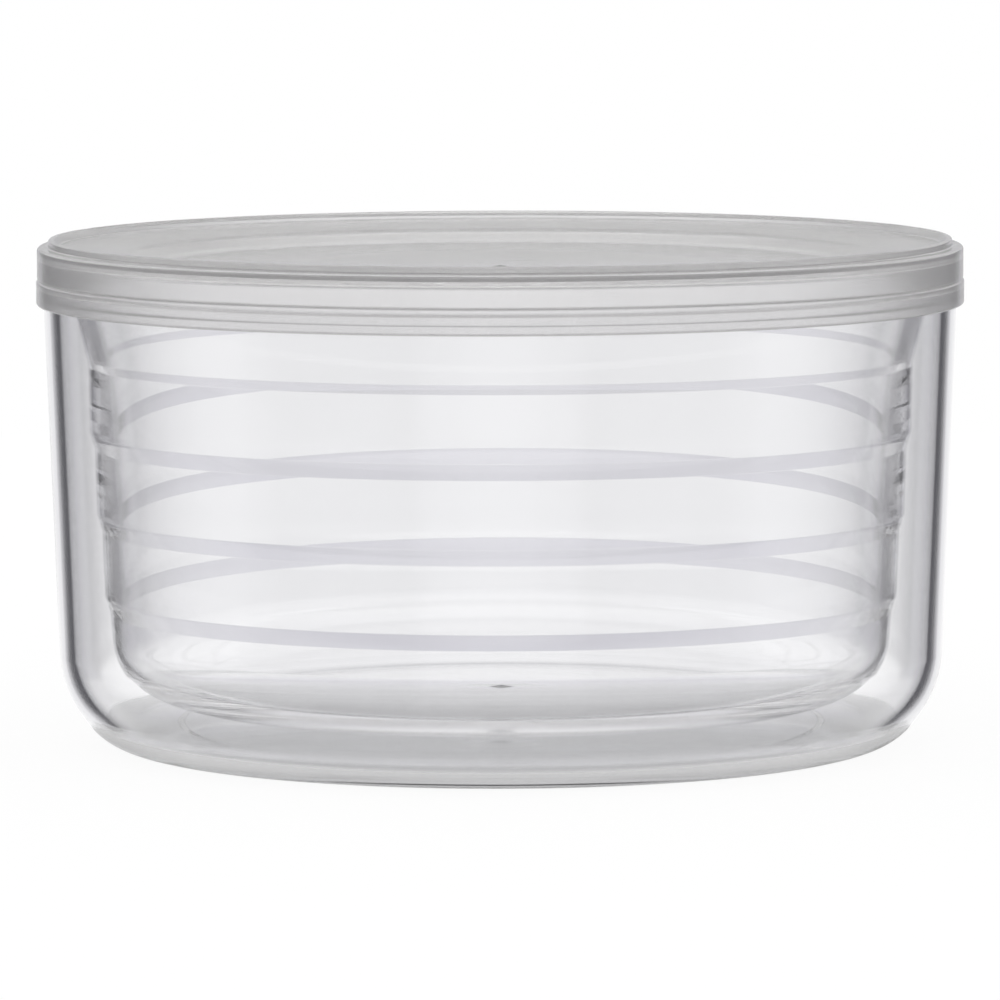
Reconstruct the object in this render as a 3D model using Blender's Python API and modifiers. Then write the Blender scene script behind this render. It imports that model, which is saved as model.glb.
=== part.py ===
"""Double-walled food storage bowl with a press-on lid.

Units are metres and +Z is up. The bowl stands on z = 0 with its axis on Z.
Every piece is turned: an outline in the X-Z plane that a Screw modifier carries round the axis.
"""

import math

import bmesh
import bpy

# Fits between the pieces
WELD_GAP = 0.0003  # rim flange of the inner bowl above the rim of the outer bowl
FLARE_CLEARANCE = 0.0016  # flare of the inner bowl inside the outer bowl's wall
LID_SEAT_GAP = 0.0003  # underside of the lid above the rim flange
LID_SIDE_CLEARANCE = 0.00025  # skirt of the lid round the outer bowl's wall
SKIRT_OVERLAP = 0.0015  # lower edge of the skirt below the ledge
SNAP_CLEARANCE = 0.00015  # snap ridge of the skirt round the bead, as it slides off

# Outer bowl
LEDGE_RADIUS = 0.0760  # outside of the wall at the ledge, which the lid's skirt hides
WALL_DRAFT = math.radians(2.2)
OUTER_WALL = 0.00245
OUTER_FLOOR = 0.0018
BASE_BEND = 0.0098  # height where the wall turns in towards the foot
BASE_TILT = math.radians(37)  # of the wall below that bend, from the upright
BEND_FILLET = 0.0180
FOOT_FILLET = 0.0095
FOOT_WIDTH = 0.0070  # flat ring that the bowl stands on
FOOT_RECESS = 0.0006  # height of the underside inside that ring
FOOT_SLOPE = 0.0010  # width of the slope between the two
FLOOR_AIR_GAP = 0.0048  # between the floors of the two bowls
NECK_HEIGHT = 0.0024  # thinner top of the wall, above the ledge
NECK_INSET = 0.0008
LEDGE_FILLET = 0.0003

# Inner bowl
FLANGE_HEIGHT = 0.00335
BEAD_OVERHANG = 0.0005  # the flange's edge beyond the neck below it
FLANGE_FILLET = 0.0006
INNER_WALL = 0.0029  # where the inside's wall meets its flare
INNER_FLOOR = 0.0028
FOOD_DEPTH = 0.07105  # rim to floor
FLARE_DEPTH = 0.0140  # cone under the rim flange
FLARE_INSET = 0.0034
STEP_COUNT = 3  # steps of the outside, below the flare
STEP_HEIGHT = 0.00265
STEP_INSET = 0.00083
BAND_DRAFT = math.radians(0.8)  # of the nearly upright band above the first step
BAND_DRAFT_GAIN = math.radians(0.7)  # from each band to the next one down
LOWER_WALL = 0.0126  # last step to the floor
LOWER_DRAFT = math.radians(4.5)  # of the outside there
BOTTOM_FILLET = 0.0115
INSIDE_FLARE_LIFT = 0.0017  # lower end of the inside's flare above that of the outside's
INSIDE_FLARE = math.radians(14.5)
INSIDE_DRAFT = math.radians(4.8)  # of the smooth inside, which has no steps, at its top
INSIDE_DRAFT_FOOT = math.radians(2.5)  # and level with the last step
INSIDE_LOWER_DRAFT = math.radians(1.0)  # between there and the floor
INSIDE_PIECES = 6  # straight pieces of its gently curved outline, down to that level
INSIDE_FILLET = 0.0080
GATE_RADIUS = 0.0021  # moulding mark in the middle of the floor
GATE_HEIGHT = 0.0006
DIMPLE_RADIUS = 0.0075  # shallow hollow round that mark
DIMPLE_DEPTH = 0.0001

# Lid
LID_PLATE = 0.00125  # tray and panel
RIM_PLATE = 0.00175  # over the rim
SKIRT_WALL = 0.00077
LOWER_BAND_PROUD = 0.00015
LOWER_BAND_HEIGHT = 0.0042
GROOVE_DEPTH = 0.0003  # fine line round the skirt, above its lower band
GROOVE_HEIGHT = 0.0006
SHOULDER_FILLET = 0.0006
HEM_FILLET = 0.0005
RING_HEIGHT = 0.00125  # raised ring above the shoulder
RING_WIDTH = 0.0009  # of its flat crest
RING_SHOULDER = 0.0019  # width of the shoulder outside the ring
RING_SLOPE = 0.0010  # width of its sloping inner side
RING_FILLET = 0.0003
TRAY_DROP = 0.0012  # ring crest to the outer edge of the sloping tray inside it
TRAY_FALL = 0.0012  # fall of the tray from its outer to its inner edge
TRAY_WIDTH = 0.0106
PANEL_DROP = 0.0020  # tray's inner edge to the panel
PANEL_SLOPE = 0.0055
PANEL_FILLET = 0.0100
TRAY_FILLET = 0.0060
DISH_RADIUS = 0.0350  # faint hollow of the panel
DISH_DEPTH = 0.0005
LID_GATE_RADIUS = 0.0012
LID_GATE_HEIGHT = 0.0003
SEAT_WIDTH = 0.0022  # flat underside that lies over the rim
SEAT_RISE = 0.00055  # underside of the tray's outer edge above that seat
SNAP_DEPTH = 0.00415  # underside of the lid to the crest of the snap ridge
SNAP_HALF_HEIGHT = 0.0008

# Facets
TURN_STEPS = 60
ARC_STEP = math.radians(22.5)

# Heights and radii that follow from the sizes above
OUTER_FLOOR_TOP = FOOT_RECESS + OUTER_FLOOR
INNER_BOTTOM = OUTER_FLOOR_TOP + FLOOR_AIR_GAP
FOOD_FLOOR = INNER_BOTTOM + INNER_FLOOR
RIM_HEIGHT = FOOD_FLOOR + FOOD_DEPTH
FLANGE_BOTTOM = RIM_HEIGHT - FLANGE_HEIGHT
NECK_TOP = FLANGE_BOTTOM - WELD_GAP
LEDGE_HEIGHT = NECK_TOP - NECK_HEIGHT
NECK_RADIUS = LEDGE_RADIUS - NECK_INSET
BEAD_RADIUS = NECK_RADIUS + BEAD_OVERHANG
STEPPED_DEPTH = FOOD_DEPTH - FLANGE_HEIGHT - FLARE_DEPTH - LOWER_WALL
BAND_HEIGHT = STEPPED_DEPTH / STEP_COUNT - STEP_HEIGHT
LID_SEAT = RIM_HEIGHT + LID_SEAT_GAP


def outer_wall_radius(height):
    """Outside radius of the outer bowl's drafted wall, carried on past its ends."""
    return LEDGE_RADIUS - (LEDGE_HEIGHT - height) * math.tan(WALL_DRAFT)


def rounded(corners):
    """Turns (radius, height, fillet) corners into points, with an arc at each corner that has a fillet."""
    points = []
    for index, (x, z, fillet) in enumerate(corners):
        if not fillet:
            points.append((x, z))
            continue
        back = (corners[index - 1][0] - x, corners[index - 1][1] - z)
        ahead = (corners[index + 1][0] - x, corners[index + 1][1] - z)
        back_angle = math.atan2(back[1], back[0])
        ahead_angle = math.atan2(ahead[1], ahead[0])
        between = (ahead_angle - back_angle + math.pi) % math.tau - math.pi
        half = abs(between) / 2
        middle = back_angle + between / 2
        centre_x = x + fillet / math.sin(half) * math.cos(middle)
        centre_z = z + fillet / math.sin(half) * math.sin(middle)
        turn = math.pi - 2 * half
        count = max(1, math.ceil(turn / ARC_STEP))
        way = math.copysign(1, between)
        for step in range(count + 1):
            angle = middle + math.pi + way * (0.5 - step / count) * turn
            points.append((centre_x + fillet * math.cos(angle), centre_z + fillet * math.sin(angle)))
    return points


def base_corners(inset, floor):
    """The bend and the foot corner of the face that lies the inset inside the outer wall."""
    rise = inset * (1 / math.cos(BASE_TILT) - 1) / (math.tan(BASE_TILT) - math.tan(WALL_DRAFT))
    bend = BASE_BEND + rise
    bend_radius = outer_wall_radius(bend) - inset
    foot_radius = bend_radius - (bend - floor) * math.tan(BASE_TILT)
    return [(bend_radius, bend, BEND_FILLET - inset), (foot_radius, floor, FOOT_FILLET - inset)]


def outer_bowl_corners():
    inside_top = outer_wall_radius(NECK_TOP) - OUTER_WALL
    outside_base = base_corners(0, 0)
    foot_outside = outside_base[-1][0] - FOOT_FILLET * math.tan((math.pi / 2 - BASE_TILT) / 2)
    foot_inside = foot_outside - FOOT_WIDTH
    inside = [(0, OUTER_FLOOR_TOP, 0)] + base_corners(OUTER_WALL, OUTER_FLOOR_TOP)[::-1]
    neck = [
        (inside_top, NECK_TOP, 0),
        (NECK_RADIUS, NECK_TOP, LEDGE_FILLET),
        (NECK_RADIUS, LEDGE_HEIGHT, 0),
        (LEDGE_RADIUS, LEDGE_HEIGHT, LEDGE_FILLET),
    ]
    foot = [
        (foot_inside, 0, 0),
        (foot_inside - FOOT_SLOPE, FOOT_RECESS, 0),
        (0, FOOT_RECESS, 0),
    ]
    return inside + neck + outside_base + foot


def inner_bowl_outside():
    """From the flange down the flare and the stepped wall to the bottom corner."""
    radius = outer_wall_radius(NECK_TOP) - OUTER_WALL - FLARE_CLEARANCE
    height = FLANGE_BOTTOM
    corners = [(radius, height, 0)]
    radius -= FLARE_INSET
    height -= FLARE_DEPTH
    corners.append((radius, height, 0))
    for step in range(STEP_COUNT):
        radius -= BAND_HEIGHT * math.tan(BAND_DRAFT + step * BAND_DRAFT_GAIN)
        height -= BAND_HEIGHT
        corners.append((radius, height, 0))
        radius -= STEP_INSET
        height -= STEP_HEIGHT
        corners.append((radius, height, 0))
    radius -= (height - INNER_BOTTOM) * math.tan(LOWER_DRAFT)
    corners.append((radius, INNER_BOTTOM, BOTTOM_FILLET))
    return corners


def inner_bowl_inside():
    """From the floor's corner up the smooth wall and the flare to the mouth."""
    bend_height = FLANGE_BOTTOM - FLARE_DEPTH + INSIDE_FLARE_LIFT
    flare_foot = outer_wall_radius(NECK_TOP) - OUTER_WALL - FLARE_CLEARANCE - FLARE_INSET
    bend_radius = flare_foot + INSIDE_FLARE_LIFT * FLARE_INSET / FLARE_DEPTH - INNER_WALL
    mouth_radius = bend_radius + (RIM_HEIGHT - bend_height) * math.tan(INSIDE_FLARE)
    corners = [(mouth_radius, RIM_HEIGHT, FLANGE_FILLET), (bend_radius, bend_height, 0)]
    fall = (bend_height - FOOD_FLOOR - LOWER_WALL) / INSIDE_PIECES
    radius = bend_radius
    for piece in range(INSIDE_PIECES):
        share = (piece + 0.5) / INSIDE_PIECES
        radius -= fall * math.tan(INSIDE_DRAFT + (INSIDE_DRAFT_FOOT - INSIDE_DRAFT) * share)
        corners.append((radius, bend_height - fall * (piece + 1), 0))
    foot_radius = radius - LOWER_WALL * math.tan(INSIDE_LOWER_DRAFT)
    corners.append((foot_radius, FOOD_FLOOR, INSIDE_FILLET))
    return corners[::-1]


def inner_bowl_corners():
    gate = [
        (0, FOOD_FLOOR - DIMPLE_DEPTH + GATE_HEIGHT, 0),
        (GATE_RADIUS, FOOD_FLOOR - DIMPLE_DEPTH, 0),
        (DIMPLE_RADIUS, FOOD_FLOOR, 0),
    ]
    flange = [
        (BEAD_RADIUS, RIM_HEIGHT, FLANGE_FILLET),
        (BEAD_RADIUS, FLANGE_BOTTOM, 0),
    ]
    return gate + inner_bowl_inside() + flange + inner_bowl_outside() + [(0, INNER_BOTTOM, 0)]


def lid_corners():
    """Outline of the lid, with heights measured up from the seat on its underside."""
    inner_radius = LEDGE_RADIUS + LID_SIDE_CLEARANCE
    upper_radius = inner_radius + SKIRT_WALL
    lower_radius = upper_radius + LOWER_BAND_PROUD
    hem = LEDGE_HEIGHT - SKIRT_OVERLAP - LID_SEAT
    band_top = hem + LOWER_BAND_HEIGHT
    ring_outside = upper_radius - RING_SHOULDER
    ring_inside = ring_outside - RING_WIDTH
    crest = RIM_PLATE + RING_HEIGHT
    tray_outer = crest - TRAY_DROP
    tray_inner = tray_outer - TRAY_FALL
    ring_foot = ring_inside - RING_SLOPE
    tray_radius = ring_foot - TRAY_WIDTH
    panel = tray_inner - PANEL_DROP
    panel_radius = tray_radius - PANEL_SLOPE
    dish = panel - DISH_DEPTH
    top = [
        (0, dish + LID_GATE_HEIGHT, 0),
        (LID_GATE_RADIUS, dish, 0),
        (DISH_RADIUS / 2, dish, 0),
        (DISH_RADIUS, panel, 0),
        (panel_radius, panel, PANEL_FILLET),
        (tray_radius, tray_inner, TRAY_FILLET),
        (ring_foot, tray_outer, 0),
        (ring_inside, crest, RING_FILLET),
        (ring_outside, crest, RING_FILLET),
        (ring_outside, RIM_PLATE, 0),
        (upper_radius, RIM_PLATE, SHOULDER_FILLET),
        (upper_radius, band_top + GROOVE_HEIGHT / 2, 0),
        (upper_radius - GROOVE_DEPTH, band_top, 0),
        (lower_radius, band_top - GROOVE_HEIGHT / 2, 0),
        (lower_radius, hem, HEM_FILLET),
    ]
    snap_radius = BEAD_RADIUS + SNAP_CLEARANCE
    seat_inside = inner_radius - SEAT_WIDTH
    below = [
        (inner_radius, hem, 0),
        (inner_radius, -SNAP_DEPTH - SNAP_HALF_HEIGHT, 0),
        (snap_radius, -SNAP_DEPTH, 0),
        (inner_radius, -SNAP_DEPTH + SNAP_HALF_HEIGHT, 0),
        (inner_radius, 0, 0),
        (seat_inside, 0, 0),
        (seat_inside - SEAT_RISE, SEAT_RISE, 0),
        (tray_radius, tray_inner - LID_PLATE, TRAY_FILLET),
        (panel_radius, panel - LID_PLATE, PANEL_FILLET),
        (0, panel - LID_PLATE, 0),
    ]
    return top + below


def clear_material(name, colour, roughness, transmission, alpha):
    material = bpy.data.materials.new(name)
    material.use_nodes = True
    shader = material.node_tree.nodes["Principled BSDF"]
    shader.inputs["Base Color"].default_value = (*colour, 1)
    shader.inputs["Roughness"].default_value = roughness
    shader.inputs["Metallic"].default_value = 0
    shader.inputs["IOR"].default_value = 1.54
    shader.inputs["Transmission Weight"].default_value = transmission
    shader.inputs["Alpha"].default_value = alpha
    material.diffuse_color = (*colour, alpha)
    return material


def turned(name, corners, material, collection, height=0):
    """An object whose outline is carried round Z, with its origin on the axis at the given height."""
    mesh = bpy.data.meshes.new(name)
    outline = bmesh.new()
    points = [outline.verts.new((x, 0, z)) for x, z in rounded(corners)]
    for first, second in zip(points, points[1:]):
        outline.edges.new((first, second))
    outline.to_mesh(mesh)
    outline.free()
    mesh.materials.append(material)
    piece = bpy.data.objects.new(name, mesh)
    piece.location.z = height
    collection.objects.link(piece)
    screw = piece.modifiers.new("turn", "SCREW")
    screw.axis = "Z"
    screw.steps = TURN_STEPS
    screw.render_steps = TURN_STEPS
    screw.use_merge_vertices = True
    screw.merge_threshold = 0.00005
    screw.use_smooth_shade = True
    return piece


def main():
    for old in list(bpy.data.objects):
        bpy.data.objects.remove(old, do_unlink=True)
    parts = bpy.data.collections.new("food_storage_bowl")
    bpy.context.scene.collection.children.link(parts)

    shell_plastic = clear_material("clear_outer_plastic", (0.93, 0.94, 0.95), 0.04, 1.0, 0.35)
    liner_plastic = clear_material("clear_inner_plastic", (0.92, 0.93, 0.94), 0.04, 1.0, 0.35)
    lid_plastic = clear_material("frosted_lid_plastic", (0.84, 0.84, 0.85), 0.45, 0.5, 0.8)

    outer_bowl = turned("outer_bowl", outer_bowl_corners(), shell_plastic, parts)
    inner_bowl = turned("inner_bowl", inner_bowl_corners(), liner_plastic, parts)
    lid = turned("lid", lid_corners(), lid_plastic, parts, LID_SEAT)
    inner_bowl.parent = outer_bowl
    lid.parent = outer_bowl


main()
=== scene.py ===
"""Looks of the double-walled food bowl: two clear turned shells and a frosted lid on a pale floor.

Units are metres and +Z is up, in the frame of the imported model. Every piece is turned about Z.
"""

import math

import bpy
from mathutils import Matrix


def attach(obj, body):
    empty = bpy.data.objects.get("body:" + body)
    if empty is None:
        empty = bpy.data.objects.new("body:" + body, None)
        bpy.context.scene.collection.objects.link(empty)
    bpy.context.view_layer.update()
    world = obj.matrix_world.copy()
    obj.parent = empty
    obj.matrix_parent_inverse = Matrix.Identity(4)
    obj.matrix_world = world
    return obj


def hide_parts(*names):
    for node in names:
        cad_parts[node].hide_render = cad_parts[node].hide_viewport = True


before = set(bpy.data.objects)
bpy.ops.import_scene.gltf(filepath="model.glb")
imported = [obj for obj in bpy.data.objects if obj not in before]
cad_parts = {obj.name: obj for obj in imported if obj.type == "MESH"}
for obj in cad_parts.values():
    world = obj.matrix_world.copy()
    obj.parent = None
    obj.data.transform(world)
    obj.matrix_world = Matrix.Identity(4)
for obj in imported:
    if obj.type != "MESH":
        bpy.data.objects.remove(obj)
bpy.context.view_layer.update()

# Fits between the pieces
WELD_GAP = 0.0003
FLARE_CLEARANCE = 0.0016
LID_SEAT_GAP = 0.0003
LID_SIDE_CLEARANCE = 0.00025
SKIRT_OVERLAP = 0.0015
SNAP_CLEARANCE = 0.00015

# Outer bowl
LEDGE_RADIUS = 0.0760
WALL_DRAFT = math.radians(2.2)
OUTER_WALL = 0.00245
OUTER_FLOOR = 0.0018
BASE_BEND = 0.0098
BASE_TILT = math.radians(37)
BEND_FILLET = 0.0180
FOOT_FILLET = 0.0095
FOOT_WIDTH = 0.0070
FOOT_RECESS = 0.0006
FOOT_SLOPE = 0.0010
FLOOR_AIR_GAP = 0.0048
NECK_HEIGHT = 0.0024
NECK_INSET = 0.0008
LEDGE_FILLET = 0.0003

# Inner bowl
FLANGE_HEIGHT = 0.00335
BEAD_OVERHANG = 0.0005
FLANGE_FILLET = 0.0006
INNER_WALL = 0.0029
INNER_FLOOR = 0.0028
FOOD_DEPTH = 0.07105
FLARE_DEPTH = 0.0140
FLARE_INSET = 0.0034
STEP_COUNT = 3
STEP_HEIGHT = 0.00265
STEP_INSET = 0.00083
BAND_DRAFT = math.radians(0.8)
BAND_DRAFT_GAIN = math.radians(0.7)
LOWER_WALL = 0.0126
LOWER_DRAFT = math.radians(4.5)
BOTTOM_FILLET = 0.0115
INSIDE_FLARE_LIFT = 0.0017
INSIDE_FLARE = math.radians(14.5)
INSIDE_DRAFT = math.radians(4.8)
INSIDE_DRAFT_FOOT = math.radians(2.5)
INSIDE_LOWER_DRAFT = math.radians(1.0)
INSIDE_PIECES = 24
INSIDE_FILLET = 0.0080
GATE_RADIUS = 0.0021
GATE_HEIGHT = 0.0006
DIMPLE_RADIUS = 0.0075
DIMPLE_DEPTH = 0.0001

# Lid
LID_PLATE = 0.00125
RIM_PLATE = 0.00175
SKIRT_WALL = 0.00077
LOWER_BAND_PROUD = 0.00015
LOWER_BAND_HEIGHT = 0.0042
GROOVE_DEPTH = 0.0003
GROOVE_HEIGHT = 0.0006
SHOULDER_FILLET = 0.0006
HEM_FILLET = 0.0005
RING_HEIGHT = 0.00125
RING_WIDTH = 0.0009
RING_SHOULDER = 0.0019
RING_SLOPE = 0.0010
RING_FILLET = 0.0003
TRAY_DROP = 0.0012
TRAY_FALL = 0.0012
TRAY_WIDTH = 0.0106
PANEL_DROP = 0.0020
PANEL_SLOPE = 0.0055
PANEL_FILLET = 0.0100
TRAY_FILLET = 0.0060
DISH_RADIUS = 0.0350
DISH_DEPTH = 0.0005
LID_GATE_RADIUS = 0.0012
LID_GATE_HEIGHT = 0.0003
SEAT_WIDTH = 0.0022
SEAT_RISE = 0.00055
SNAP_DEPTH = 0.00415
SNAP_HALF_HEIGHT = 0.0008

# Fineness of the turned pieces
TURN_STEPS = 288
ARC_STEP = math.radians(6)
EDGE_FILLET = 0.0003  # moulded rounding of the edges that have no larger fillet
SMOOTH = None  # in place of a fillet: a point of a curve, with no edge

# Heights and radii that follow from the sizes above
OUTER_FLOOR_TOP = FOOT_RECESS + OUTER_FLOOR
INNER_BOTTOM = OUTER_FLOOR_TOP + FLOOR_AIR_GAP
FOOD_FLOOR = INNER_BOTTOM + INNER_FLOOR
RIM_HEIGHT = FOOD_FLOOR + FOOD_DEPTH
FLANGE_BOTTOM = RIM_HEIGHT - FLANGE_HEIGHT
NECK_TOP = FLANGE_BOTTOM - WELD_GAP
LEDGE_HEIGHT = NECK_TOP - NECK_HEIGHT
NECK_RADIUS = LEDGE_RADIUS - NECK_INSET
BEAD_RADIUS = NECK_RADIUS + BEAD_OVERHANG
STEPPED_DEPTH = FOOD_DEPTH - FLANGE_HEIGHT - FLARE_DEPTH - LOWER_WALL
BAND_HEIGHT = STEPPED_DEPTH / STEP_COUNT - STEP_HEIGHT
LID_SEAT = RIM_HEIGHT + LID_SEAT_GAP
GATE_BOTTOM = FOOD_FLOOR - 2 * DIMPLE_DEPTH
LID_GATE_BOTTOM = LID_SEAT - 2 * LID_PLATE

# Camera, for an image of 1000 by 1000 pixels
FOCAL_PIXELS = 7783.0
IMAGE_PIXELS = 1000
SENSOR_WIDTH = 36.0
CAMERA_DISTANCE = 1.3
CAMERA_HEIGHT = 0.16536
CAMERA_SIDE = 0.00017
HORIZON_ROW = -250.0
PITCH_TRIM = 0.000217
CAMERA_ROLL = math.radians(0.13)

# Plastics
CLEAR_TINT = (0.986, 0.986, 0.990)
CLEAR_HAZE_SHADE = 0.985
CLEAR_HAZE_RANGE = (0.35, 0.75)
CLEAR_HAZE_ROUGHNESS = 0.015
CLEAR_IOR = 1.54
HAZE_DETAIL = 3.0
OUTER_HAZE_SCALE = 45.0
INNER_HAZE_SCALE = 38.0
# Painted shade: the near-black tint of the inner bowl's gate mark stands in for the dark look that refraction gives it;
# its roughness is real
GATE_PAINTED_SHADE = (0.03, 0.03, 0.032)
GATE_ROUGHNESS = 0.2
GATE_EDGE = (0.9, 1.05)  # where a gate mark fades out, in shares of its radius
FROST_TINTS = ((0.927, 0.921, 0.919), (0.951, 0.945, 0.943))
FROST_CLOUD_SCALE = 60.0
FROST_CLOUD_DETAIL = 3.0
FROST_GRAIN_SCALE = 4000.0
FROST_GRAIN_DETAIL = 2.0
FROST_GRAIN_RANGE = (0.3, 0.7)
FROST_ROUGHNESS = (0.20, 0.26)
FROST_BUMP = 0.04
FROST_BUMP_DEPTH = 0.00005
FROST_IOR = 1.5
FROST_TRANSMISSION = 0.85
MILK_TINT = (0.1, 0.1, 0.12)
MILK_DENSITY = 20.0
# Painted shade: the grey of the lid's gate mark stands in for the dark spot that light gives it
LID_GATE_PAINTED_SHADE = (0.25, 0.25, 0.25)

# Floor. Clear plastic sees a painted shade under the bowl: an emission set by place, standing in for the floor's shadow
# and for the light that reaches under the bowl. The shade goes from the front, at 0, to the back, at 1.
FLOOR_RADIUS = 0.6
FLOOR_SIDES = 96
FLOOR_GAP = 0.0001
FLOOR_COLOUR = (0.9, 0.9, 0.9)
FLOOR_WHITE_SHARE = 0.94
UNDER_SHARE = 0.7
UNDER_DEPTH = (-0.07, 0.07)
UNDER_SHADES = (
    (0.0, (0.85, 0.85, 0.865)),
    (0.015, (0.57, 0.57, 0.585)),
    (0.055, (0.49, 0.49, 0.505)),
    (0.22, (0.43, 0.43, 0.445)),
    (0.50, (0.45, 0.45, 0.465)),
    (0.78, (0.75, 0.75, 0.76)),
    (1.0, (0.88, 0.88, 0.89)),
)
UNDER_EDGE = (0.0700, 0.0722)
# Painted shade round the front half of the foot, at its own set levels
FOOT_SHADE_EDGE = (0.058, 0.065)
FOOT_SHADE_BACK = (-0.002, 0.012)
FOOT_SHADE_DEPTH = (-0.045, -0.015)
FOOT_SHADE_LEVELS = (0.72, 0.57)

# Studio. Each side of the bowl has a pale screen, and a level is the light from one direction.
# Rises are the Z of a direction, sides are its X and depths its Y.
SCREEN_FALL = math.radians(7)
SCREEN_LEVELS = (  # by the angle in degrees from the middle of the nearest screen
    (5.0, 1.0), (10.0, 0.93), (15.0, 0.80), (20.5, 0.72), (23.5, 0.08), (29.0, 0.08), (36.0, 0.24), (60.0, 0.24),
)
SCREEN_COOLING = (0.015, 0.10)
SCREEN_WIDENING = math.radians(6)
WIDENING_RISE = (-0.42, -0.22)
SHARP_SCREEN_DEPTH = (0.45, 0.65)
SOFT_SCREEN_LEVEL = 0.66
SOFT_SCREEN_SHARE = 0.24
HORIZON_SPAN = (-0.25, 0.25)
HORIZON_LEVELS = (  # by the rise
    (-0.25, 1.04), (-0.20, 0.98), (-0.14, 1.03), (-0.06, 0.99), (-0.02, 0.88), (0.0, 0.845), (0.02, 0.835),
    (0.032, 0.76), (0.045, 0.82), (0.09, 0.88), (0.25, 0.90),
)
HORIZON_COOLING = (0.045, 0.24)
FLANK_SPREAD = (0.12, 0.26)
FLANK_LEVEL = 0.86
FLANK_RISE = (-0.04, 0.01)
BEHIND_LEVELS = ((0.10, 0.78), (0.18, 0.65), (0.46, 0.65), (0.56, 1.0), (0.88, 1.0), (0.92, 1.1))
BESIDE_LEVELS = ((0.10, 0.78), (0.18, 1.15), (0.50, 1.15), (0.56, 1.0), (0.88, 1.0), (0.92, 1.1))
AHEAD_LEVELS = ((0.10, 1.1), (0.20, 1.45), (0.50, 1.45), (0.60, 1.3), (0.88, 1.3), (0.92, 1.2))
AHEAD_DEPTH = (-0.2, 0.2)
BEHIND_SIDE = (0.20, 0.40)
CEILING_RISE = (0.07, 0.16)
GROUND_RISE = (-0.23, -0.18)
GROUND_ANGLE = (math.radians(34), math.radians(44))
GROUND_LEVELS = (0.55, 0.45)  # behind and ahead
NADIR_RISE = (-0.55, -0.42)
NADIR_LEVELS = (0.71, 1.015)
LIGHT_BOUNCES = 64


# Outlines

def outer_wall_radius(height):
    return LEDGE_RADIUS - (LEDGE_HEIGHT - height) * math.tan(WALL_DRAFT)


def base_corners(inset, floor):
    """The bend and the foot corner of the face that lies the inset inside the outer wall."""
    rise = inset * (1 / math.cos(BASE_TILT) - 1) / (math.tan(BASE_TILT) - math.tan(WALL_DRAFT))
    bend = BASE_BEND + rise
    bend_radius = outer_wall_radius(bend) - inset
    foot_radius = bend_radius - (bend - floor) * math.tan(BASE_TILT)
    return [(bend_radius, bend, BEND_FILLET - inset), (foot_radius, floor, FOOT_FILLET - inset)]


def outer_bowl_corners():
    inside_top = outer_wall_radius(NECK_TOP) - OUTER_WALL
    outside_base = base_corners(0, 0)
    foot_outside = outside_base[-1][0] - FOOT_FILLET * math.tan((math.pi / 2 - BASE_TILT) / 2)
    foot_inside = foot_outside - FOOT_WIDTH
    inside = [(0, OUTER_FLOOR_TOP, 0)] + base_corners(OUTER_WALL, OUTER_FLOOR_TOP)[::-1]
    neck = [
        (inside_top, NECK_TOP, 0),
        (NECK_RADIUS, NECK_TOP, LEDGE_FILLET),
        (NECK_RADIUS, LEDGE_HEIGHT, 0),
        (LEDGE_RADIUS, LEDGE_HEIGHT, LEDGE_FILLET),
    ]
    foot = [
        (foot_inside, 0, 0),
        (foot_inside - FOOT_SLOPE, FOOT_RECESS, 0),
        (0, FOOT_RECESS, 0),
    ]
    return inside + neck + outside_base + foot


def inner_bowl_outside():
    """From the flange down the flare and the stepped wall to the bottom corner."""
    radius = outer_wall_radius(NECK_TOP) - OUTER_WALL - FLARE_CLEARANCE
    height = FLANGE_BOTTOM
    corners = [(radius, height, 0)]
    radius -= FLARE_INSET
    height -= FLARE_DEPTH
    corners.append((radius, height, 0))
    for step in range(STEP_COUNT):
        radius -= BAND_HEIGHT * math.tan(BAND_DRAFT + step * BAND_DRAFT_GAIN)
        height -= BAND_HEIGHT
        corners.append((radius, height, 0))
        radius -= STEP_INSET
        height -= STEP_HEIGHT
        corners.append((radius, height, 0))
    radius -= (height - INNER_BOTTOM) * math.tan(LOWER_DRAFT)
    corners.append((radius, INNER_BOTTOM, BOTTOM_FILLET))
    return corners


def inner_bowl_inside():
    """From the floor's corner up the smooth wall and the flare to the mouth."""
    bend_height = FLANGE_BOTTOM - FLARE_DEPTH + INSIDE_FLARE_LIFT
    flare_foot = outer_wall_radius(NECK_TOP) - OUTER_WALL - FLARE_CLEARANCE - FLARE_INSET
    bend_radius = flare_foot + INSIDE_FLARE_LIFT * FLARE_INSET / FLARE_DEPTH - INNER_WALL
    mouth_radius = bend_radius + (RIM_HEIGHT - bend_height) * math.tan(INSIDE_FLARE)
    corners = [(mouth_radius, RIM_HEIGHT, FLANGE_FILLET), (bend_radius, bend_height, 0)]
    fall = (bend_height - FOOD_FLOOR - LOWER_WALL) / INSIDE_PIECES
    radius = bend_radius
    for piece in range(INSIDE_PIECES):
        share = (piece + 0.5) / INSIDE_PIECES
        radius -= fall * math.tan(INSIDE_DRAFT + (INSIDE_DRAFT_FOOT - INSIDE_DRAFT) * share)
        corners.append((radius, bend_height - fall * (piece + 1), SMOOTH))
    foot_radius = radius - LOWER_WALL * math.tan(INSIDE_LOWER_DRAFT)
    corners.append((foot_radius, FOOD_FLOOR, INSIDE_FILLET))
    return corners[::-1]


def inner_bowl_corners():
    gate = [
        (0, FOOD_FLOOR - DIMPLE_DEPTH + GATE_HEIGHT, 0),
        (GATE_RADIUS, FOOD_FLOOR - DIMPLE_DEPTH, 0),
        (DIMPLE_RADIUS, FOOD_FLOOR, 0),
    ]
    flange = [
        (BEAD_RADIUS, RIM_HEIGHT, FLANGE_FILLET),
        (BEAD_RADIUS, FLANGE_BOTTOM, 0),
    ]
    return gate + inner_bowl_inside() + flange + inner_bowl_outside() + [(0, INNER_BOTTOM, 0)]


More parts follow.
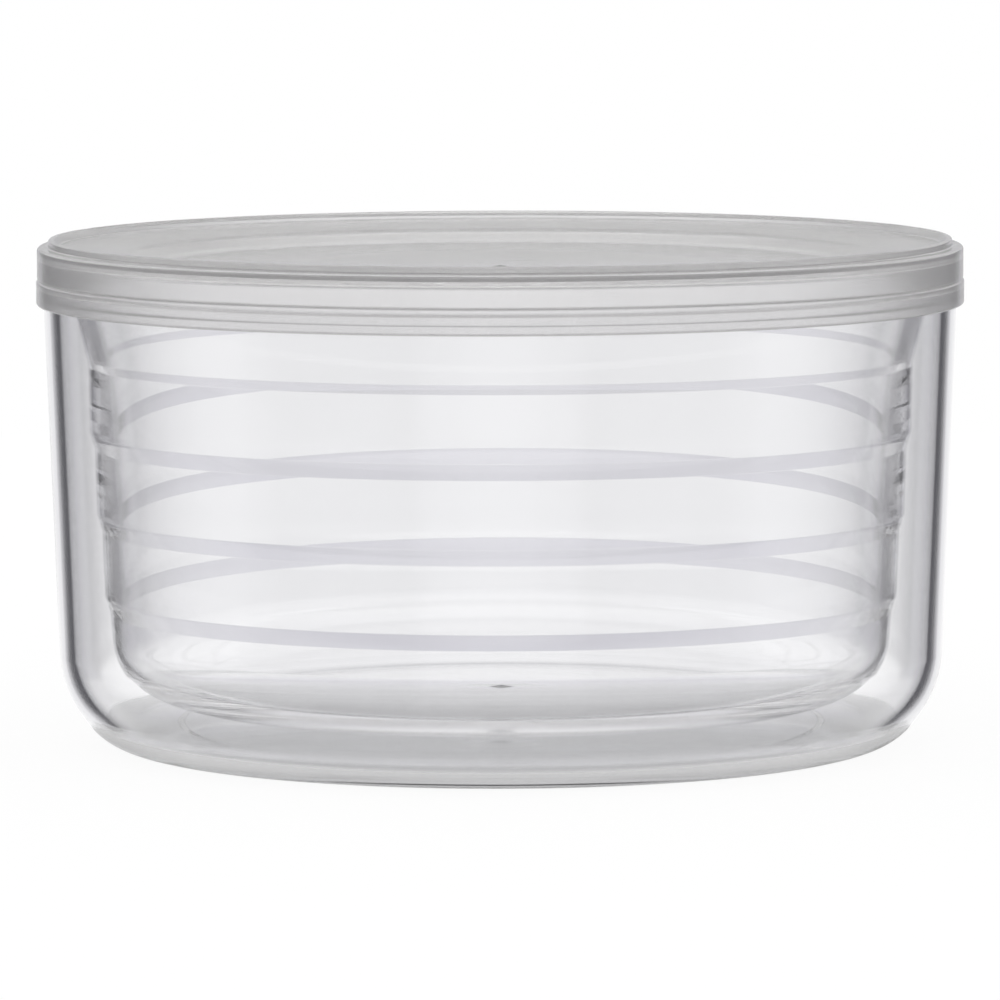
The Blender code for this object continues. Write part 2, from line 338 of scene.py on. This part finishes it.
def lid_corners():
    """Outline of the lid, with heights measured up from the seat on its underside."""
    inner_radius = LEDGE_RADIUS + LID_SIDE_CLEARANCE
    upper_radius = inner_radius + SKIRT_WALL
    lower_radius = upper_radius + LOWER_BAND_PROUD
    hem = LEDGE_HEIGHT - SKIRT_OVERLAP - LID_SEAT
    band_top = hem + LOWER_BAND_HEIGHT
    ring_outside = upper_radius - RING_SHOULDER
    ring_inside = ring_outside - RING_WIDTH
    crest = RIM_PLATE + RING_HEIGHT
    tray_outer = crest - TRAY_DROP
    tray_inner = tray_outer - TRAY_FALL
    ring_foot = ring_inside - RING_SLOPE
    tray_radius = ring_foot - TRAY_WIDTH
    panel = tray_inner - PANEL_DROP
    panel_radius = tray_radius - PANEL_SLOPE
    dish = panel - DISH_DEPTH
    top = [
        (0, dish + LID_GATE_HEIGHT, 0),
        (LID_GATE_RADIUS, dish, 0),
        (DISH_RADIUS / 2, dish, 0),
        (DISH_RADIUS, panel, 0),
        (panel_radius, panel, PANEL_FILLET),
        (tray_radius, tray_inner, TRAY_FILLET),
        (ring_foot, tray_outer, 0),
        (ring_inside, crest, RING_FILLET),
        (ring_outside, crest, RING_FILLET),
        (ring_outside, RIM_PLATE, 0),
        (upper_radius, RIM_PLATE, SHOULDER_FILLET),
        (upper_radius, band_top + GROOVE_HEIGHT / 2, 0),
        (upper_radius - GROOVE_DEPTH, band_top, 0),
        (lower_radius, band_top - GROOVE_HEIGHT / 2, 0),
        (lower_radius, hem, HEM_FILLET),
    ]
    snap_radius = BEAD_RADIUS + SNAP_CLEARANCE
    seat_inside = inner_radius - SEAT_WIDTH
    below = [
        (inner_radius, hem, 0),
        (inner_radius, -SNAP_DEPTH - SNAP_HALF_HEIGHT, 0),
        (snap_radius, -SNAP_DEPTH, 0),
        (inner_radius, -SNAP_DEPTH + SNAP_HALF_HEIGHT, 0),
        (inner_radius, 0, 0),
        (seat_inside, 0, 0),
        (seat_inside - SEAT_RISE, SEAT_RISE, 0),
        (tray_radius, tray_inner - LID_PLATE, TRAY_FILLET),
        (panel_radius, panel - LID_PLATE, PANEL_FILLET),
        (0, panel - LID_PLATE, 0),
    ]
    return top + below


# Turned pieces

def direction(start, end):
    length = math.dist(start[:2], end[:2])
    return (end[0] - start[0]) / length, (end[1] - start[1]) / length


def fillet_points(before, corner, after):
    """Points (x, z, normal x, normal z) of the arc that rounds one corner of an outline."""
    x, z, fillet = corner
    into = direction(before, corner)
    out = direction(corner, after)
    turn = math.atan2(into[0] * out[1] - into[1] * out[0], into[0] * out[0] + into[1] * out[1])
    if fillet is SMOOTH:
        way = direction((0, 0), (into[0] + out[0], into[1] + out[1]))
        return [(x, z, -way[1], way[0])]
    if abs(turn) < 1e-6:
        return []
    slope = math.tan(abs(turn) / 2)
    room = 0.45 * min(math.dist(before[:2], (x, z)), math.dist(after[:2], (x, z)))
    radius = fillet or min(EDGE_FILLET, room / slope)
    side = math.copysign(radius, turn)
    start = (x - into[0] * radius * slope, z - into[1] * radius * slope)
    centre = (start[0] - side * into[1], start[1] + side * into[0])
    count = max(3, math.ceil(abs(turn) / ARC_STEP))
    points = []
    for step in range(count + 1):
        angle = turn * step / count
        way_x = into[0] * math.cos(angle) - into[1] * math.sin(angle)
        way_z = into[0] * math.sin(angle) + into[1] * math.cos(angle)
        points.append((centre[0] + side * way_z, centre[1] - side * way_x, -way_z, way_x))
    return points


def outline(corners):
    """Points with exact normals along a rounded outline that starts and ends on the axis."""
    points = [(corners[0][0], corners[0][1], 0, 1)]
    for before, corner, after in zip(corners, corners[1:], corners[2:]):
        points += fillet_points(before, corner, after)
    points.append((corners[-1][0], corners[-1][1], 0, -1))
    return points


def turned(name, corners, height=0):
    """A closed solid of revolution about Z that keeps the exact normals of its outline."""
    points = outline(corners)
    first, last = points[0], points[-1]
    verts = [(0, 0, first[1] + height)]
    normals = [(0, 0, 1)]
    rings = []
    for x, z, normal_x, normal_z in points[1:-1]:
        rings.append(len(verts))
        for step in range(TURN_STEPS):
            angle = math.tau * step / TURN_STEPS
            cosine, sine = math.cos(angle), math.sin(angle)
            verts.append((x * cosine, x * sine, z + height))
            normals.append((normal_x * cosine, normal_x * sine, normal_z))
    verts.append((0, 0, last[1] + height))
    normals.append((0, 0, -1))
    foot = len(verts) - 1
    faces = []
    for step in range(TURN_STEPS):
        ahead = (step + 1) % TURN_STEPS
        faces.append((0, rings[0] + step, rings[0] + ahead))
        for upper, lower in zip(rings, rings[1:]):
            faces.append((upper + step, lower + step, lower + ahead, upper + ahead))
        faces.append((rings[-1] + step, foot, rings[-1] + ahead))
    mesh = bpy.data.meshes.new(name)
    mesh.from_pydata(verts, [], faces)
    mesh.shade_smooth()
    mesh.normals_split_custom_set_from_vertices(normals)
    piece = bpy.data.objects.new(name, mesh)
    bpy.context.scene.collection.objects.link(piece)
    return piece


# Materials

class Tree:
    """Short calls for making and joining shader nodes."""

    def __init__(self, owner):
        owner.use_nodes = True
        self.nodes = owner.node_tree.nodes
        self.links = owner.node_tree.links

    def add(self, kind, settings=None, **inputs):
        node = self.nodes.new("ShaderNode" + kind)
        for key, value in (settings or {}).items():
            setattr(node, key, value)
        for key, value in inputs.items():
            self.put(node.inputs[key.replace("_", " ")], value)
        return node

    def put(self, socket, value):
        if isinstance(value, bpy.types.NodeSocket):
            self.links.new(value, socket)
        else:
            socket.default_value = value

    def math(self, operation, *values):
        node = self.nodes.new("ShaderNodeMath")
        node.operation = operation
        for socket, value in zip(node.inputs, values):
            self.put(socket, value)
        return node.outputs[0]

    def spread(self, value, source, target):
        """The value, taken smoothly from the source range to the target range."""
        node = self.nodes.new("ShaderNodeMapRange")
        node.interpolation_type = "SMOOTHSTEP"
        for key, number in zip(("From Min", "From Max", "To Min", "To Max"), (*source, *target)):
            self.put(node.inputs[key], number)
        self.put(node.inputs["Value"], value)
        return node.outputs["Result"]

    def ramp(self, factor, stops):
        """Colours between stops, each a place from 0 to 1 and its colour."""
        node = self.add("ValToRGB", Fac=factor)
        elements = node.color_ramp.elements
        for element, (place, colour) in zip(elements, (stops[0], stops[-1])):
            element.position = place
            element.color = opaque(colour)
        for place, colour in stops[1:-1]:
            elements.new(place).color = opaque(colour)
        return node.outputs["Color"]

    def noise(self, vector, scale, detail):
        node = self.add("TexNoise", Scale=scale, Detail=detail)
        self.put(node.inputs["Vector"], vector)
        return node.outputs["Fac"]

    def length(self, vector):
        return self.add("VectorMath", {"operation": "LENGTH"}, Vector=vector).outputs["Value"]

    def product(self, first, second):
        node = self.add("VectorMath", {"operation": "MULTIPLY"})
        self.put(node.inputs[0], first)
        self.put(node.inputs[1], second)
        return node.outputs["Vector"]

    def blend(self, factor, first, second):
        node = self.nodes.new("ShaderNodeMix")
        node.data_type = "RGBA"
        self.put(node.inputs["Factor"], factor)
        self.put(node.inputs[6], first)
        self.put(node.inputs[7], second)
        return node.outputs[2]

    def mix(self, factor, first, second):
        node = self.add("MixShader", Fac=factor)
        self.links.new(first.outputs[0], node.inputs[1])
        self.links.new(second.outputs[0], node.inputs[2])
        return node

    def gate(self, place, radius, bottom):
        """1 on a gate mark, which is within the radius of the Z axis and above its bottom, and 0 elsewhere."""
        away = self.length(self.product(place, (1, 1, 0)))
        height = self.add("SeparateXYZ", Vector=place).outputs["Z"]
        within = self.spread(away, [share * radius for share in GATE_EDGE], (1, 0))
        return self.math("MULTIPLY", within, self.math("GREATER_THAN", height, bottom))


def opaque(colour):
    return (*colour, 1)


def grey(level):
    return (level, level, level, 1)


def cooled(level, cooling):
    """A grey that has less green and more blue the darker it is."""
    green, blue = (share * (1 - min(level, 1)) for share in cooling)
    return level, level * (1 - green), level * (1 + blue)


def clear_plastic(name, haze_scale, gate=None):
    """Polished clear copolyester with a faint moulding haze. The gate is the radius and bottom of a dull mark, darkened
    with painted shade.
    """
    material = bpy.data.materials.new(name)
    tree = Tree(material)
    shader = tree.nodes["Principled BSDF"]
    place = tree.add("TexCoord").outputs["Object"]
    haze = tree.noise(place, haze_scale, HAZE_DETAIL)
    shaded = [CLEAR_HAZE_SHADE * part for part in CLEAR_TINT]
    colour = tree.blend(haze, opaque(CLEAR_TINT), opaque(shaded))
    roughness = tree.spread(haze, CLEAR_HAZE_RANGE, (0, CLEAR_HAZE_ROUGHNESS))
    if gate:
        mark = tree.gate(place, *gate)
        # Painted shade: the gate mark is darkened in colour
        colour = tree.blend(mark, colour, opaque(GATE_PAINTED_SHADE))
        roughness = tree.math("MAXIMUM", roughness, tree.math("MULTIPLY", mark, GATE_ROUGHNESS))
    tree.put(shader.inputs["Base Color"], colour)
    tree.put(shader.inputs["Roughness"], roughness)
    shader.inputs["IOR"].default_value = CLEAR_IOR
    shader.inputs["Transmission Weight"].default_value = 1.0
    return material


def frosted_plastic(name, gate):
    """Milky translucent polyethylene with a fine satin grain, and a gate mark of the given radius and bottom, greyed
    with painted shade.
    """
    material = bpy.data.materials.new(name)
    tree = Tree(material)
    shader = tree.nodes["Principled BSDF"]
    place = tree.add("TexCoord").outputs["Object"]
    cloud = tree.noise(place, FROST_CLOUD_SCALE, FROST_CLOUD_DETAIL)
    grain = tree.noise(place, FROST_GRAIN_SCALE, FROST_GRAIN_DETAIL)
    colour = tree.blend(cloud, *(opaque(tint) for tint in FROST_TINTS))
    # Painted shade: the gate mark at the centre is greyed in colour
    tree.put(shader.inputs["Base Color"], tree.blend(tree.gate(place, *gate), colour, opaque(LID_GATE_PAINTED_SHADE)))
    tree.put(shader.inputs["Roughness"], tree.spread(grain, FROST_GRAIN_RANGE, FROST_ROUGHNESS))
    shader.inputs["IOR"].default_value = FROST_IOR
    shader.inputs["Transmission Weight"].default_value = FROST_TRANSMISSION
    milk = tree.add("VolumeAbsorption", Color=opaque(MILK_TINT), Density=MILK_DENSITY)
    tree.links.new(milk.outputs[0], tree.nodes["Material Output"].inputs["Volume"])
    bump = tree.add("Bump", Strength=FROST_BUMP, Distance=FROST_BUMP_DEPTH)
    tree.put(bump.inputs["Height"], grain)
    tree.put(shader.inputs["Normal"], bump.outputs["Normal"])
    return material


# Stage

def floor_material():
    """Pale and matt, nearly white to the camera. Clear plastic sees a painted shade under the bowl, glowing at levels
    set by place, and the studio beyond.
    """
    material = bpy.data.materials.new("pale_floor")
    tree = Tree(material)
    tree.nodes.clear()
    output = tree.add("OutputMaterial")
    matt = tree.add("BsdfDiffuse", Color=opaque(FLOOR_COLOUR))
    white = tree.add("Emission", Color=grey(1), Strength=1.0)
    spot = tree.add("TexCoord").outputs["Object"]
    depth = tree.add("SeparateXYZ", Vector=spot).outputs["Y"]
    away = tree.length(spot)
    # Painted shade under the bowl, set by place: darkest from near the front to the middle, paler at the back
    shade = tree.ramp(tree.spread(depth, UNDER_DEPTH, (0, 1)), UNDER_SHADES)
    edge = tree.spread(away, FOOT_SHADE_EDGE, (0, 1))
    foot = tree.math("MULTIPLY", edge, tree.spread(depth, FOOT_SHADE_BACK, (1, 0)))
    level = tree.blend(foot, shade, tree.spread(depth, FOOT_SHADE_DEPTH, FOOT_SHADE_LEVELS))
    # The painted shade glows as an emission mixed with the matt floor, and only transmission and glossy rays see it
    pale = tree.add("Emission", Color=level, Strength=1.0)
    clear = tree.add("BsdfTransparent", Color=grey(1))
    path = tree.add("LightPath")
    under = tree.spread(away, UNDER_EDGE, (1, 0))
    seen = tree.math("MULTIPLY", path.outputs["Is Camera Ray"], FLOOR_WHITE_SHARE)
    through = tree.math("MAXIMUM", path.outputs["Is Transmission Ray"], path.outputs["Is Glossy Ray"])
    below = tree.mix(UNDER_SHARE, matt, pale)
    surface = tree.mix(through, tree.mix(seen, matt, white), tree.mix(under, clear, below))
    tree.links.new(surface.outputs[0], output.inputs["Surface"])
    return material


def make_floor():
    """A round pale table top that keeps the shadow."""
    ring = [math.tau * step / FLOOR_SIDES for step in range(FLOOR_SIDES)]
    verts = [(FLOOR_RADIUS * math.cos(angle), FLOOR_RADIUS * math.sin(angle), -FLOOR_GAP) for angle in ring]
    mesh = bpy.data.meshes.new("floor")
    mesh.from_pydata(verts, [], [tuple(range(FLOOR_SIDES))])
    mesh.materials.append(floor_material())
    floor = bpy.data.objects.new("floor", mesh)
    bpy.context.scene.collection.objects.link(floor)


def make_world():
    """Soft studio light: a pale screen with dark sides behind the bowl, softer ones round it, ceiling and ground."""
    world = bpy.data.worlds.new("studio")
    bpy.context.scene.world = world
    tree = Tree(world)
    tree.nodes.clear()
    output = tree.add("OutputWorld")
    way = tree.add("SeparateXYZ", Vector=tree.add("TexCoord").outputs["Generated"])
    side, depth, rise = (way.outputs[axis] for axis in "XYZ")
    across, along = tree.math("ABSOLUTE", side), tree.math("ABSOLUTE", depth)

    flat = tree.math("MULTIPLY", tree.math("MAXIMUM", across, along), math.cos(SCREEN_FALL))
    facing = tree.math("SUBTRACT", flat, tree.math("MULTIPLY", rise, math.sin(SCREEN_FALL)))
    angle = tree.math("ARCCOSINE", facing)
    widening = tree.spread(rise, WIDENING_RISE, (SCREEN_WIDENING, 0))
    turn = tree.math("DIVIDE", tree.math("SUBTRACT", angle, widening), math.pi)
    sharp = tree.ramp(turn, [(degrees / 180, cooled(light, SCREEN_COOLING)) for degrees, light in SCREEN_LEVELS])
    soft = tree.blend(SOFT_SCREEN_SHARE, grey(SOFT_SCREEN_LEVEL), sharp)
    screens = tree.blend(tree.spread(depth, SHARP_SCREEN_DEPTH, (0, 1)), soft, sharp)

    start, end = HORIZON_SPAN
    span = end - start
    climb = tree.math("DIVIDE", tree.math("SUBTRACT", rise, start), span)
    stops = [((height - start) / span, cooled(light, HORIZON_COOLING)) for height, light in HORIZON_LEVELS]
    flanks = tree.spread(tree.math("MINIMUM", across, along), FLANK_SPREAD, (1, FLANK_LEVEL))
    flanked = tree.blend(tree.spread(rise, FLANK_RISE, (0, 1)), grey(1), flanks)
    walls = tree.product(tree.product(screens, tree.ramp(climb, stops)), flanked)

    behind, beside, ahead = (tree.ramp(rise, [(height, (light,) * 3) for height, light in levels])
                             for levels in (BEHIND_LEVELS, BESIDE_LEVELS, AHEAD_LEVELS))
    front = tree.spread(depth, AHEAD_DEPTH, (1, 0))
    centred = tree.spread(across, BEHIND_SIDE, (1, 0))
    ceiling = tree.blend(front, tree.blend(centred, beside, behind), ahead)
    upper = tree.blend(tree.spread(rise, CEILING_RISE, (0, 1)), walls, ceiling)

    ground = tree.blend(front, *(grey(light) for light in GROUND_LEVELS))
    low = tree.math("MULTIPLY", tree.spread(rise, GROUND_RISE, (1, 0)), tree.spread(angle, GROUND_ANGLE, (0, 1)))
    around = tree.product(tree.blend(low, upper, ground), tree.spread(rise, NADIR_RISE, NADIR_LEVELS))
    seen = tree.blend(tree.add("LightPath").outputs["Is Camera Ray"], around, grey(1))
    tree.links.new(tree.add("Background", Color=seen).outputs[0], output.inputs["Surface"])


def make_camera():
    pitch = math.atan((IMAGE_PIXELS / 2 - HORIZON_ROW) / FOCAL_PIXELS) - PITCH_TRIM
    data = bpy.data.cameras.new("camera")
    data.sensor_width = SENSOR_WIDTH
    data.lens = SENSOR_WIDTH * FOCAL_PIXELS / math.cos(pitch) / IMAGE_PIXELS
    camera = bpy.data.objects.new("camera", data)
    camera.location = (CAMERA_SIDE, -CAMERA_DISTANCE, CAMERA_HEIGHT)
    camera.rotation_euler = (math.pi / 2 - pitch, CAMERA_ROLL, 0)
    bpy.context.scene.collection.objects.link(camera)
    bpy.context.scene.camera = camera


PIECES = (
    ("outer_bowl_clear", outer_bowl_corners(), 0, "bowl", "outer_bowl", "clear_outer",
     clear_plastic("clear_outer_plastic", OUTER_HAZE_SCALE)),
    ("inner_bowl_clear", inner_bowl_corners(), 0, "bowl", "inner_bowl", "clear_inner",
     clear_plastic("clear_inner_plastic", INNER_HAZE_SCALE, (GATE_RADIUS, GATE_BOTTOM))),
    ("lid_frosted", lid_corners(), LID_SEAT, "lid", "lid", "frosted_lid",
     frosted_plastic("frosted_lid_plastic", (LID_GATE_RADIUS, LID_GATE_BOTTOM))),
)

for name, corners, height, body, node, slot, material in PIECES:
    piece = turned(name, corners, height)
    piece.data.materials.append(material)
    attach(piece, body)
    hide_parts(node)

make_floor()
make_world()
make_camera()

scene = bpy.context.scene
scene.view_settings.view_transform = "Standard"
scene.cycles.max_bounces = LIGHT_BOUNCES
scene.cycles.transmission_bounces = LIGHT_BOUNCES
scene.cycles.glossy_bounces = LIGHT_BOUNCES
